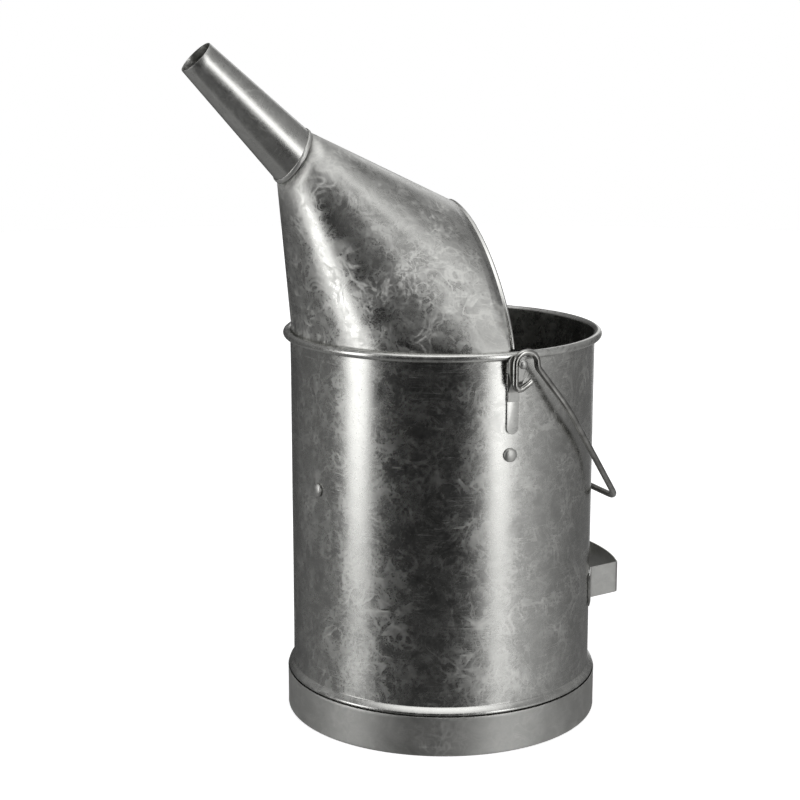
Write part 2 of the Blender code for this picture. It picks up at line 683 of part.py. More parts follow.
def handle_path():
    """The strap's middle line, from one flange round the back to the other, ahead of the can's axis."""
    face = BODY_RADIUS + GAP + HANDLE_THICKNESS / 2
    middle_y = (HANDLE_FLANGE_Y + HANDLE_FOOT_Y) / 2
    back_y = HANDLE_CORNER_Y * HANDLE_BACK_SHARE
    flange_ys = (HANDLE_FLANGE_Y, middle_y, HANDLE_FOOT_Y)
    flange = [Vector((math.sqrt(face ** 2 - y ** 2), y, 0.0)) for y in flange_ys]
    half = rounded_path([
        (flange[0], 0.0),
        (flange[1], HANDLE_EASE),
        (flange[2], HANDLE_FOOT_BEND),
        (Vector((HANDLE_CORNER_X, HANDLE_CORNER_Y, 0.0)), HANDLE_CORNER_BEND),
        (handle_back(back_y), HANDLE_EASE),
        (handle_back(back_y * (1.0 - 1.0 / HANDLE_BACK_STEPS)), 0.0),
    ])
    shares = [1.0 - step / HANDLE_BACK_STEPS for step in range(2, HANDLE_BACK_STEPS + 1)]
    half += [handle_back(back_y * share) for share in shares]
    return half + [Vector((p.x, -p.y, 0.0)) for p in reversed(half[:-1])]


def build_tipping_handle():
    """A bent strap low at the back, for tipping the can, with a flange on the wall at each end."""
    path = handle_path()
    height = HANDLE_TOP - HANDLE_BOTTOM

    def place(column, row):
        point = path[column]
        return Vector((point.x + AXIS_X, point.y, HANDLE_BOTTOM + height * row))

    bm = bmesh.new()
    sheet_grid(bm, len(path) - 1, 1, place)
    mesh = mesh_from_bmesh("tipping_handle", bm)
    smooth(mesh)
    handle = add_object("tipping_handle", mesh, make_material("tipping_handle", GALVANISED, 0.4, 1.0))
    solidify(handle, HANDLE_THICKNESS, MIDDLE_FACE)


def main():
    clear_scene()
    make_collection(COLLECTION)
    cutters = make_collection("cutters")
    build_body(cutters)
    build_rim_wire()
    build_bottom()
    build_foot()
    build_level_rivets()
    build_hood()
    build_hood_edge()
    build_spout()
    build_collar()
    build_ears(cutters)
    build_bail()
    build_tipping_handle()


main()
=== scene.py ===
"""Looks of the galvanised pouring can: fine sheet-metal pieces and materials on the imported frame."""
import math

import bmesh
import bpy
import numpy as np
from mathutils import Matrix, Vector, noise


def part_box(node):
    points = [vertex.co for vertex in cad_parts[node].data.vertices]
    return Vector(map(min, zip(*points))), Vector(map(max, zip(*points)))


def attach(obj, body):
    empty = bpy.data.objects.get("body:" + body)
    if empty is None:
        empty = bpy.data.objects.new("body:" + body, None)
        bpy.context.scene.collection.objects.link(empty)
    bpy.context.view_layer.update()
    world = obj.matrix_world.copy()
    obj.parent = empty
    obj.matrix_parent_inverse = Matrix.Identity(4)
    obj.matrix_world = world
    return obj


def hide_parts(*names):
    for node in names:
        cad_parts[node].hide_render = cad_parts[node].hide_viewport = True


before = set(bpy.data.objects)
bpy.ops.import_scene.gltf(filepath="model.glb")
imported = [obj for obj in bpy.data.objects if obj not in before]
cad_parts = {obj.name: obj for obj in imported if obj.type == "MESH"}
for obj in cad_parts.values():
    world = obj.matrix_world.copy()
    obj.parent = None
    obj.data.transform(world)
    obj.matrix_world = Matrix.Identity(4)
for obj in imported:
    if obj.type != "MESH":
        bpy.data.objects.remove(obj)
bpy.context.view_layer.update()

# ---------------------------------------------------------------- sizes, in metres
body_low, body_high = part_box("body_shell")
AXIS_X = (body_low.x + body_high.x) / 2
BEAD_RADIUS = 0.0036
RIM_HEIGHT = body_high.z - BEAD_RADIUS
SHEET = 0.0008
BODY_RADIUS = 0.1365
BEAD_CENTRE = BODY_RADIUS + BEAD_RADIUS - SHEET
FOOT_FLARE = [(0.13758, 0.04145), (0.13862, 0.04060), (0.13963, 0.03940)]
FOOT_BEAD_CENTRE = (0.13930, 0.0376)
FOOT_BEAD_RADIUS = 0.0015
FOOT_GROOVE = [(0.13992, 0.0362), (0.13980, 0.0357)]
SEAM_DEGREES = 8.0
SEAM_HALF_WIDTH = 0.0050
DENT_DEPTH = 0.00035

HOOD_LIFT = 0.0045
HOOD_SKIRT_DEPTH = 0.0120
GAP = 0.0003
ARCH_HEIGHT = 0.1176
ARCH_FOOT_X = 0.0028
ARCH_LEAN = 0.0072
ARCH_POWER = 1.615
ARCH_ROOT = 1.361
EDGE_ROLL_RADIUS = 0.0022
EDGE_SINK = 0.0017
EDGE_RAISE = 0.00055
HEM_SINK = 0.0005
PANEL_RIM = 80.1
PANEL_ARCH = 0.211
PANEL_NECK = 110.9
PANEL_WIDTH = 1.5
PANEL_COLUMNS = 4
FRONT_EASE = 0.21
RIDGE_SHARE = 0.2
RIDGE_POWER = 8

NECK_REACH = 0.1400
NECK_RISE = 0.1584
NECK_RADIUS = 0.0253
NECK_PITCH = math.radians(31.9)
SPOUT_PITCH = math.radians(44.7)
SPOUT_LENGTH = 0.1199
SPOUT_TIP_RADIUS = 0.0161

PIVOT = Vector((AXIS_X + 0.0022, 0.0, 0.3430))
BAIL_WIRE_RADIUS = 0.00275
BAIL_STANDOFF = 0.0111
BAIL_TILT = math.radians(49.5)
ARM_START = (0.0276, 0.3276)

HANDLE_TOP = 0.1280
HANDLE_BOTTOM = 0.0990
HANDLE_THICKNESS = 0.0016
HANDLE_FLANGE_Y = 0.0840
HANDLE_FOOT_Y = 0.0625
HANDLE_CORNER = (0.1545, 0.0570)
HANDLE_CREST_X = 0.1655


# ---------------------------------------------------------------- mesh helpers
def link(name, mesh):
    item = bpy.data.objects.new(name, mesh)
    bpy.context.scene.collection.objects.link(item)
    return item


def arc(centre, radius, start, end, count):
    """Points of an arc, angles in degrees, both ends included."""
    turns = np.radians(np.linspace(start, end, count + 1))
    return [(centre[0] + radius * math.cos(a), centre[1] + radius * math.sin(a)) for a in turns]


def face_out(bm):
    bmesh.ops.recalc_face_normals(bm, faces=bm.faces)
    if bm.calc_volume(signed=True) < 0.0:
        bmesh.ops.reverse_faces(bm, faces=bm.faces)


def shade(mesh, degrees=38.0):
    mesh.shade_smooth()
    mesh.set_sharp_from_angle(angle=math.radians(degrees))


def grid_object(name, points, wrap_rows=False, wrap_columns=False, cap=False, sharp=38.0):
    """A mesh over an array of points [row, column], with a UV map in metres of surface."""
    points = np.asarray(points, float)
    rows, columns = points.shape[:2]
    row_steps = np.linalg.norm(np.diff(points, axis=0), axis=2).mean(axis=1)
    column_steps = np.linalg.norm(np.diff(points, axis=1), axis=2).mean(axis=0)
    along = np.concatenate([[0.0], np.cumsum(row_steps), [row_steps.sum() + row_steps.mean()]])
    across = np.concatenate([[0.0], np.cumsum(column_steps), [column_steps.sum() + column_steps.mean()]])
    bm = bmesh.new()
    uv = bm.loops.layers.uv.new("surface")
    verts = [bm.verts.new(p) for p in points.reshape(-1, 3)]
    for row in range(rows if wrap_rows else rows - 1):
        for column in range(columns if wrap_columns else columns - 1):
            corners = ((row, column), (row + 1, column), (row + 1, column + 1), (row, column + 1))
            face = bm.faces.new([verts[(r % rows) * columns + c % columns] for r, c in corners])
            for loop, (r, c) in zip(face.loops, corners):
                loop[uv].uv = (along[r], across[c])
    if cap:
        for row in (0, rows - 1):
            face = bm.faces.new([verts[row * columns + c] for c in range(columns)])
            for loop in face.loops:
                loop[uv].uv = (along[row], 0.0)
    face_out(bm)
    mesh = bpy.data.meshes.new(name)
    bm.to_mesh(mesh)
    bm.free()
    shade(mesh, sharp)
    return link(name, mesh)


def thicken(path, thickness, cap_steps=3):
    """A closed outline round an open path of (radius, height), with round ends."""
    path = np.asarray(path, float)
    ahead = np.gradient(path, axis=0)
    ahead /= np.linalg.norm(ahead, axis=1)[:, None]
    side = np.stack([-ahead[:, 1], ahead[:, 0]], axis=1) * thickness / 2
    turns = np.linspace(0.0, math.pi, cap_steps + 2)[1:-1]
    end = [path[-1] + side[-1] * math.cos(a) + ahead[-1] * thickness / 2 * math.sin(a) for a in turns]
    start = [path[0] - side[0] * math.cos(a) - ahead[0] * thickness / 2 * math.sin(a) for a in turns]
    return np.array(list(path + side) + end + list((path - side)[::-1]) + start)


def line(start, end, count):
    """Points from start to end, without the first."""
    return [tuple(np.add(start, np.subtract(end, start) * step / count)) for step in range(1, count + 1)]


def turn(name, outline, angles, change=None, centre=(0.0, 0.0)):
    """Turn a closed outline of (radius, height) round a vertical axis; change(angle, r, z) gives r."""
    rows = []
    for angle in angles:
        ring = []
        for r, z in outline:
            reach = change(angle, r, z) if change else r
            ring.append((centre[0] + reach * math.cos(angle), centre[1] + reach * math.sin(angle), z))
        rows.append(ring)
    return grid_object(name, rows, wrap_rows=True, wrap_columns=True)


def turned_pin(name, profile, matrix, steps=56):
    """A solid of (radius, height) points turned about its own Z and put in place."""
    bm = bmesh.new()
    uv = bm.loops.layers.uv.new("surface")
    rings = []
    for r, z in profile:
        count = steps if r > 0.0 else 1
        turns = [2.0 * math.pi * i / steps for i in range(count)]
        rings.append([bm.verts.new(matrix @ Vector((r * math.cos(a), r * math.sin(a), z))) for a in turns])
    for low, high in zip(rings, rings[1:]):
        for i in range(steps):
            corners = [low[i % len(low)], low[(i + 1) % len(low)]]
            corners += [high[(i + 1) % len(high)], high[i % len(high)]]
            bm.faces.new(list(dict.fromkeys(corners)))
    for face in bm.faces:
        for loop in face.loops:
            local = matrix.inverted() @ loop.vert.co
            loop[uv].uv = (local.x, local.y)
    face_out(bm)
    mesh = bpy.data.meshes.new(name)
    bm.to_mesh(mesh)
    bm.free()
    shade(mesh, 32.0)
    return link(name, mesh)


def tube(name, points, radius, sides=20):
    """A round wire along points, its ends closed by small domes."""
    points = [Vector(p) for p in points]
    count = len(points)
    tangents = []
    for i in range(count):
        tangents.append((points[min(i + 1, count - 1)] - points[max(i - 1, 0)]).normalized())
    normal = tangents[0].orthogonal().normalized()
    rings = []
    turns = [2.0 * math.pi * k / sides for k in range(sides)]

    def ring(centre, tangent, across, reach):
        other = tangent.cross(across)
        rings.append([centre + (across * math.cos(a) + other * math.sin(a)) * reach for a in turns])

    end_turns = [math.radians(a) for a in (80.0, 60.0, 40.0, 20.0)]
    for a in end_turns:
        ring(points[0] - tangents[0] * radius * math.sin(a), tangents[0], normal, radius * math.cos(a))
    for i in range(count):
        normal = (normal - tangents[i] * normal.dot(tangents[i])).normalized()
        ring(points[i], tangents[i], normal, radius)
    for a in reversed(end_turns):
        ring(points[-1] + tangents[-1] * radius * math.sin(a), tangents[-1], normal, radius * math.cos(a))
    return grid_object(name, [[tuple(p) for p in r] for r in rings], wrap_columns=True, cap=True)


def apply_modifiers(item):
    """Replace the object's mesh with what its modifiers make of it."""
    bpy.context.view_layer.update()
    shown = item.evaluated_get(bpy.context.evaluated_depsgraph_get())
    mesh = bpy.data.meshes.new_from_object(shown)
    item.modifiers.clear()
    item.data = mesh


def bevel(item, width, segments=3, degrees=40.0):
    edge = item.modifiers.new("edge", "BEVEL")
    edge.width = width
    edge.segments = segments
    edge.limit_method = "ANGLE"
    edge.angle_limit = math.radians(degrees)


def place(item, body, slot, material, *replaced):
    """Give a piece its material and its body, and hide the CAD nodes that it stands for; slot is not used.
    """
    item.data.materials.clear()
    item.data.materials.append(material)
    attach(item, body)
    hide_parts(*replaced)


# ---------------------------------------------------------------- materials
class Nodes:
    """Short names for building one material's node tree."""

    def __init__(self, name):
        self.material = bpy.data.materials.new(name)
        self.material.use_nodes = True
        self.tree = self.material.node_tree
        self.shader = self.tree.nodes["Principled BSDF"]

    def add(self, kind, **settings):
        node = self.tree.nodes.new(kind)
        for key, value in settings.items():
            setattr(node, key, value)
        return node

    def join(self, source, target):
        self.tree.links.new(source, target)

    def feed(self, target, value):
        """Set a socket to a number, a colour or another node's output."""
        if isinstance(value, bpy.types.NodeSocket):
            self.join(value, target)
        else:
            target.default_value = value

    def math(self, operation, first, second=0.0, third=0.0, clamp=False):
        node = self.add("ShaderNodeMath", operation=operation, use_clamp=clamp)
        for socket, value in zip(node.inputs, (first, second, third)):
            self.feed(socket, value)
        return node.outputs[0]

    def ramp(self, factor, stops):
        """Map a factor through (position, colour) stops."""
        node = self.add("ShaderNodeValToRGB")
        for index, (position, value) in enumerate(stops):
            if index < 2:
                element = node.color_ramp.elements[index]
                element.position = position
            else:
                element = node.color_ramp.elements.new(position)
            element.color = (*value, 1.0)
        self.feed(node.inputs["Fac"], factor)
        return node.outputs["Color"]

    def range(self, value, low, high, to_low=0.0, to_high=1.0, smooth=False):
        node = self.add("ShaderNodeMapRange", interpolation_type="SMOOTHSTEP" if smooth else "LINEAR")
        ends = {"Value": value, "From Min": low, "From Max": high, "To Min": to_low, "To Max": to_high}
        for key, item in ends.items():
            self.feed(node.inputs[key], item)
        return node.outputs["Result"]

    def mapped(self, vector, scale, rotation=(0.0, 0.0, 0.0), offset=(0.0, 0.0, 0.0)):
        node = self.add("ShaderNodeMapping")
        self.join(vector, node.inputs["Vector"])
        node.inputs["Scale"].default_value = scale
        node.inputs["Rotation"].default_value = rotation
        node.inputs["Location"].default_value = offset
        return node.outputs["Vector"]

    def noise(self, vector, scale, detail=4.0, roughness=0.55, distortion=0.0):
        node = self.add("ShaderNodeTexNoise")
        self.join(vector, node.inputs["Vector"])
        node.inputs["Scale"].default_value = scale
        node.inputs["Detail"].default_value = detail
        node.inputs["Roughness"].default_value = roughness
        node.inputs["Distortion"].default_value = distortion
        return node.outputs["Fac"]


# Frosting strokes as (scale, width, weight), and sets of scratches as (degrees, lines per metre).
FROST_STROKES = ((40.0, 0.070, 0.60), (78.0, 0.085, 0.50), (150.0, 0.110, 0.32))
SCRATCH_SETS = ((86.0, 230.0), (101.0, 280.0), (38.0, 250.0), (-52.0, 300.0))


def galvanised(name, seed, dark=0.30, light=0.72, smoothness=0.24, haze=0.20, relief=0.25, scratches=1.0,
               contrast=1.0, frosting=1.0, flux=(), tint=(1.0, 1.0, 0.965)):
    """Zinc-coated sheet: feathery frosting, soft clouds, fine grain, hairline scratches and worn edges.

    flux lists points and reaches round them, where soldering has left the zinc dull and pale.
    """
    n = Nodes(name)
    where = n.add("ShaderNodeTexCoord").outputs["Object"]
    base = n.mapped(where, (1.0, 1.0, 1.0), offset=(seed * 1.7, seed * 0.9, seed * 2.3))
    surface = n.add("ShaderNodeUVMap", uv_map="surface").outputs["UV"]
    cloud = n.math("SUBTRACT", n.noise(base, 14.0, 4.0, 0.55, 0.5), 0.5)
    blotch = n.math("SUBTRACT", n.noise(base, 46.0, 8.0, 0.66, 0.8), 0.5)
    grain = n.math("SUBTRACT", n.noise(base, 420.0, 5.0, 0.7), 0.5)

    # Frosting: thin curled strokes of crystals, broken up and of three sizes.
    frost = None
    for scale, width, weight in FROST_STROKES:
        moved = n.mapped(base, (1.0, 1.0, 1.0), offset=(scale * 0.013, 0.31, scale * 0.007))
        ripple = n.math("ABSOLUTE", n.math("SUBTRACT", n.noise(moved, scale, 2.0, 0.5, 1.6), 0.5))
        stroke = n.range(ripple, 0.0, width, 1.0, 0.0, smooth=True)
        broken = n.range(n.noise(moved, scale * 0.8, 2.0, 0.5), 0.38, 0.66)
        stroke = n.math("MULTIPLY", n.math("MULTIPLY", stroke, broken), weight)
        frost = stroke if frost is None else n.math("ADD", frost, stroke)
    frost = n.math("MULTIPLY", frost, n.range(cloud, -0.16, 0.16, 0.45 * frosting, 1.35 * frosting))

    # Hairline scratches in several directions, in metres of surface.
    lines = None
    for index, (angle, density) in enumerate(SCRATCH_SETS):
        spin = (0.0, 0.0, math.radians(angle))
        turned = n.mapped(surface, (6.0, density, 1.0), spin, (seed + index, 0.0, 0.0))
        strand = n.noise(turned, 1.0, 2.0, 0.5, 0.15)
        thin = n.range(n.math("ABSOLUTE", n.math("SUBTRACT", strand, 0.5)), 0.0, 0.0075, 1.0, 0.0)
        moved = n.mapped(surface, (22.0, 22.0, 1.0), offset=(index * 3.1 + seed, 7.0, 0.0))
        thin = n.math("MULTIPLY", thin, n.range(n.noise(moved, 1.0, 3.0), 0.54, 0.64))
        lines = thin if lines is None else n.math("MAXIMUM", lines, thin)
    lines = n.math("MULTIPLY", lines, scratches)
    worn = n.range(n.add("ShaderNodeNewGeometry").outputs["Pointiness"], 0.53, 0.62)

    tone = n.math("MULTIPLY_ADD", cloud, 0.55 * contrast, 0.40)
    tone = n.math("MULTIPLY_ADD", blotch, 0.85 * contrast, tone)
    tone = n.math("MULTIPLY_ADD", frost, 0.42 * contrast, tone)
    tone = n.math("MULTIPLY_ADD", grain, 0.22, tone)
    tone = n.math("MULTIPLY_ADD", lines, 0.35, tone)
    tone = n.math("MULTIPLY_ADD", worn, 0.30, tone, clamp=True)
    rough = n.math("MULTIPLY_ADD", frost, haze * 0.80, smoothness)
    rough = n.math("MULTIPLY_ADD", blotch, haze * 1.5, rough)
    rough = n.math("MULTIPLY_ADD", cloud, haze * 0.8, rough)
    rough = n.math("MULTIPLY_ADD", grain, 0.12, rough)
    rough = n.math("MULTIPLY_ADD", lines, 0.12, rough)
    for point, reach in flux:
        away = n.add("ShaderNodeVectorMath", operation="DISTANCE")
        n.join(where, away.inputs[0])
        away.inputs[1].default_value = point
        ragged = n.math("MULTIPLY_ADD", blotch, reach, away.outputs["Value"])
        near = n.range(ragged, reach * 0.5, reach * 1.3, 1.0, 0.0, smooth=True)
        tone = n.math("MULTIPLY_ADD", near, 0.10, tone, clamp=True)
        rough = n.math("MULTIPLY_ADD", near, 0.20, rough)
    low = tuple(dark * c for c in tint)
    high = tuple(light * c for c in tint)
    n.join(n.ramp(tone, ((0.0, low), (1.0, high))), n.shader.inputs["Base Color"])
    n.join(n.math("MAXIMUM", rough, 0.14, clamp=True), n.shader.inputs["Roughness"])
    n.shader.inputs["Metallic"].default_value = 1.0

    height = n.math("MULTIPLY", n.noise(base, 26.0, 2.0, 0.5), 0.00045)
    height = n.math("MULTIPLY_ADD", blotch, 0.00010, height)
    height = n.math("MULTIPLY_ADD", frost, 0.00003, height)
    height = n.math("MULTIPLY_ADD", grain, 0.000035, height)
    height = n.math("MULTIPLY_ADD", lines, -0.00003, height)
    bump = n.add("ShaderNodeBump")
    bump.inputs["Strength"].default_value = relief
    bump.inputs["Distance"].default_value = 1.0
    n.join(height, bump.inputs["Height"])
    n.join(bump.outputs["Normal"], n.shader.inputs["Normal"])
    return n.material


def steel_wire(name, seed):
    """Drawn wire: fine lengthwise draw lines, bright where it is worn and darkened in patches."""
    n = Nodes(name)
    surface = n.add("ShaderNodeUVMap", uv_map="surface").outputs["UV"]
    where = n.add("ShaderNodeTexCoord").outputs["Object"]
    draw = n.noise(n.mapped(surface, (14.0, 1500.0, 1.0), offset=(seed, 0.0, 0.0)), 1.0, 3.0)
    wear = n.range(n.noise(where, 60.0, 6.0, 0.65, 0.4), 0.35, 0.68)
    grain = n.noise(where, 900.0, 4.0, 0.7)
    tone = n.math("MULTIPLY_ADD", wear, 0.6, n.math("MULTIPLY", draw, 0.4), clamp=True)
    stops = ((0.10, (0.17, 0.168, 0.16)), (0.95, (0.56, 0.555, 0.535)), (0.50, (0.33, 0.327, 0.313)))
    n.join(n.ramp(tone, stops), n.shader.inputs["Base Color"])
    rough = n.math("MULTIPLY_ADD", wear, -0.08, 0.26)
    rough = n.math("MULTIPLY_ADD", n.math("SUBTRACT", grain, 0.5), 0.20, rough)
    n.join(rough, n.shader.inputs["Roughness"])
    n.shader.inputs["Metallic"].default_value = 1.0
    height = n.math("MULTIPLY_ADD", grain, 0.00003, n.math("MULTIPLY", draw, 0.00002))
    bump = n.add("ShaderNodeBump")
    bump.inputs["Strength"].default_value = 0.4
    bump.inputs["Distance"].default_value = 1.0
    n.join(height, bump.inputs["Height"])
    n.join(bump.outputs["Normal"], n.shader.inputs["Normal"])
    return n.material


# ---------------------------------------------------------------- can
def seam_change(angle, r, z):
    """Gentle dents in the wall, and the lap of its rear seam standing proud inside."""
    if z > RIM_HEIGHT - 0.006 or z < 0.047:
        return r
    ease = min((RIM_HEIGHT - 0.006 - z) / 0.03, (z - 0.047) / 0.03, 1.0)
    spot = Vector((math.cos(angle) * 1.6, math.sin(angle) * 1.6, z * 9.0))
    dent = DENT_DEPTH * ease * (0.5 + 0.5 * noise.noise(spot) + 0.25 * noise.noise(spot * 2.7))
    offset = (math.degrees(angle) - SEAM_DEGREES) % 360.0
    offset = math.radians(offset - 360.0 if offset > 180.0 else offset) * BODY_RADIUS
    inner = r < BODY_RADIUS - SHEET / 2
    if inner and abs(offset) < SEAM_HALF_WIDTH + 0.0006:
        lap = min(1.0, (SEAM_HALF_WIDTH + 0.0006 - abs(offset)) / 0.0006)
        r -= SHEET * lap * ease
    if not inner and abs(offset - SEAM_HALF_WIDTH) < 0.0009:
        r -= 0.00045 * (1.0 - abs(offset - SEAM_HALF_WIDTH) / 0.0009) * ease
    return r - max(dent, 0.0)


def seam_angles():
    """Angles round the can, close together at the rear seam."""
    even = [math.radians(a) for a in np.arange(SEAM_DEGREES + 4.0, SEAM_DEGREES + 356.5, 1.25)]
    fine = [math.radians(a) for a in np.arange(SEAM_DEGREES - 3.5, SEAM_DEGREES + 3.6, 0.12)]
    return fine + even


def make_wall():
    """The wall: the curl round the rim wire, the straight sheet and the bead above the foot hoop."""
    middle = BODY_RADIUS - SHEET / 2
    path = arc((BEAD_CENTRE, RIM_HEIGHT), BEAD_RADIUS - SHEET / 2, -136.0, 180.0, 30)
    path += line((middle, RIM_HEIGHT), (middle, 0.0436), 44)
    path += arc((middle + 0.0008, 0.0430), 0.0008, 180.0, 224.0, 4)
    path += FOOT_FLARE
    path += arc(FOOT_BEAD_CENTRE, FOOT_BEAD_RADIUS, 36.0, -52.0, 12)
    path += FOOT_GROOVE
    path += line((0.13978, 0.0352), (0.13975, 0.0094), 5)
    outline = thicken(path, SHEET)
    return turn("can_wall", outline, seam_angles(), seam_change, (AXIS_X, 0.0))


def make_foot():
    """The foot hoop, its upper edge eased and its lower edge folded up inside."""
    path = [(0.14175, 0.0351)] + line((0.14175, 0.0351), (0.14175, 0.001025), 14)
    path += arc((0.141125, 0.001025), 0.000625, 0.0, -180.0, 10)[1:]
    path += line((0.1405, 0.001025), (0.1405, 0.0058), 3)

    def dents(angle, r, z):
        spot = Vector((math.cos(angle) * 2.5, math.sin(angle) * 2.5, z * 14.0))
        share = min(z / 0.006, (0.0351 - z) / 0.004, 1.0)
        return r - 0.00022 * max(share, 0.0) * (0.5 + 0.5 * noise.noise(spot))

    angles = [math.radians(a) for a in np.arange(0.0, 360.0, 1.2)]
    return turn("foot_band", thicken(path, SHEET), angles, dents, (AXIS_X, 0.0))


def make_bottom():
    """The bottom pan, with a shallow ring pressed in it and its flange turned down."""
    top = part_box("bottom_disc")[1].z - SHEET / 2
    path = [(0.0, top)] + line((0.0, top), (0.104, top), 10)
    path += [(0.104 + 0.012 * s, top - 0.0007 * math.sin(math.pi * s)) for s in np.linspace(0.1, 1.0, 10)]
    path += line((0.116, top), (0.1365, top), 4)
    path += arc((0.1365, top - 0.00225), 0.00225, 90.0, 0.0, 8)[1:]
    path += line((0.13875, top - 0.00225), (0.13875, 0.0095), 3)
    outline = thicken(path[1:], SHEET)
    centre = [(0.0, top + SHEET / 2)] + [tuple(p) for p in outline[: -3]] + [(0.0, top - SHEET / 2)]
    return turned_pin("bottom_pan", centre, Matrix.Translation((AXIS_X, 0.0, 0.0)), 160)


# ---------------------------------------------------------------- hood and spout
def neck_frame():
    centre = Vector((AXIS_X - NECK_REACH, 0.0, RIM_HEIGHT + NECK_RISE))
    normal = Vector((-math.cos(NECK_PITCH), 0.0, math.sin(NECK_PITCH)))
    upward = Vector((math.sin(NECK_PITCH), 0.0, math.cos(NECK_PITCH)))
    return centre, normal, upward


def neck_point(degrees):
    centre, _, upward = neck_frame()
    angle = math.radians(degrees)
    aside = Vector((0.0, NECK_RADIUS * math.sin(angle), 0.0))
    return centre - upward * NECK_RADIUS * math.cos(angle) - aside


def arch_point(y, inset):
    """A point on the hood's rear edge, moved forward by inset."""
    rise = ARCH_HEIGHT * max(1.0 - (abs(y) / BODY_RADIUS) ** ARCH_POWER, 0.0) ** (1.0 / ARCH_ROOT)
    back = ARCH_FOOT_X + ARCH_LEAN * rise / ARCH_HEIGHT - inset
    return Vector((AXIS_X + back, y, RIM_HEIGHT + rise))


CORNER_Y = BODY_RADIUS * (1.0 - (HOOD_LIFT / ARCH_HEIGHT) ** ARCH_ROOT) ** (1.0 / ARCH_POWER)
EDGE_INSET = 2.0 * EDGE_ROLL_RADIUS + GAP
FRONT_COLUMNS = 64
REAR_COLUMNS = 64
CORNER_COLUMNS = 10
HOOD_ROWS = 14
EASED_REACH = 0.066
EASING_PASSES = 90


def rim_point(degrees):
    corner = arch_point(-CORNER_Y, EDGE_INSET)
    radius = math.hypot(corner.x - AXIS_X, corner.y)
    angle = math.radians(180.0 + degrees)
    return Vector((AXIS_X + radius * math.cos(angle), radius * math.sin(angle), RIM_HEIGHT + HOOD_LIFT))


def corner_degrees():
    corner = arch_point(-CORNER_Y, EDGE_INSET)
    return math.degrees(math.atan2(-corner.y, AXIS_X - corner.x))


def arch_share_point(share):
    spot = arch_point(-CORNER_Y * math.cos(share * math.pi / 2), EDGE_INSET)
    if share >= 1.0:
        spot.y = 0.0
    return spot


def hood_ruling(column):
    """Both ends of a straight ruling that runs up to the neck, counted from the front to the ridge."""
    if column <= FRONT_COLUMNS:
        share = column / FRONT_COLUMNS
        end = PANEL_NECK * ((1.0 + FRONT_EASE) * share - FRONT_EASE * share ** 2)
        base = rim_point(PANEL_RIM * share)
    else:
        share = (column - FRONT_COLUMNS - 1) / REAR_COLUMNS
        late = (1.0 - RIDGE_SHARE) * share + RIDGE_SHARE * share ** RIDGE_POWER
        end = PANEL_NECK + PANEL_WIDTH + (180.0 - PANEL_WIDTH - PANEL_NECK) * late
        base = arch_share_point(PANEL_ARCH + (1.0 - PANEL_ARCH) * share)
    top = neck_point(end)
    if column in (0, FRONT_COLUMNS + 1 + REAR_COLUMNS):
        top.y = 0.0
    return base, top


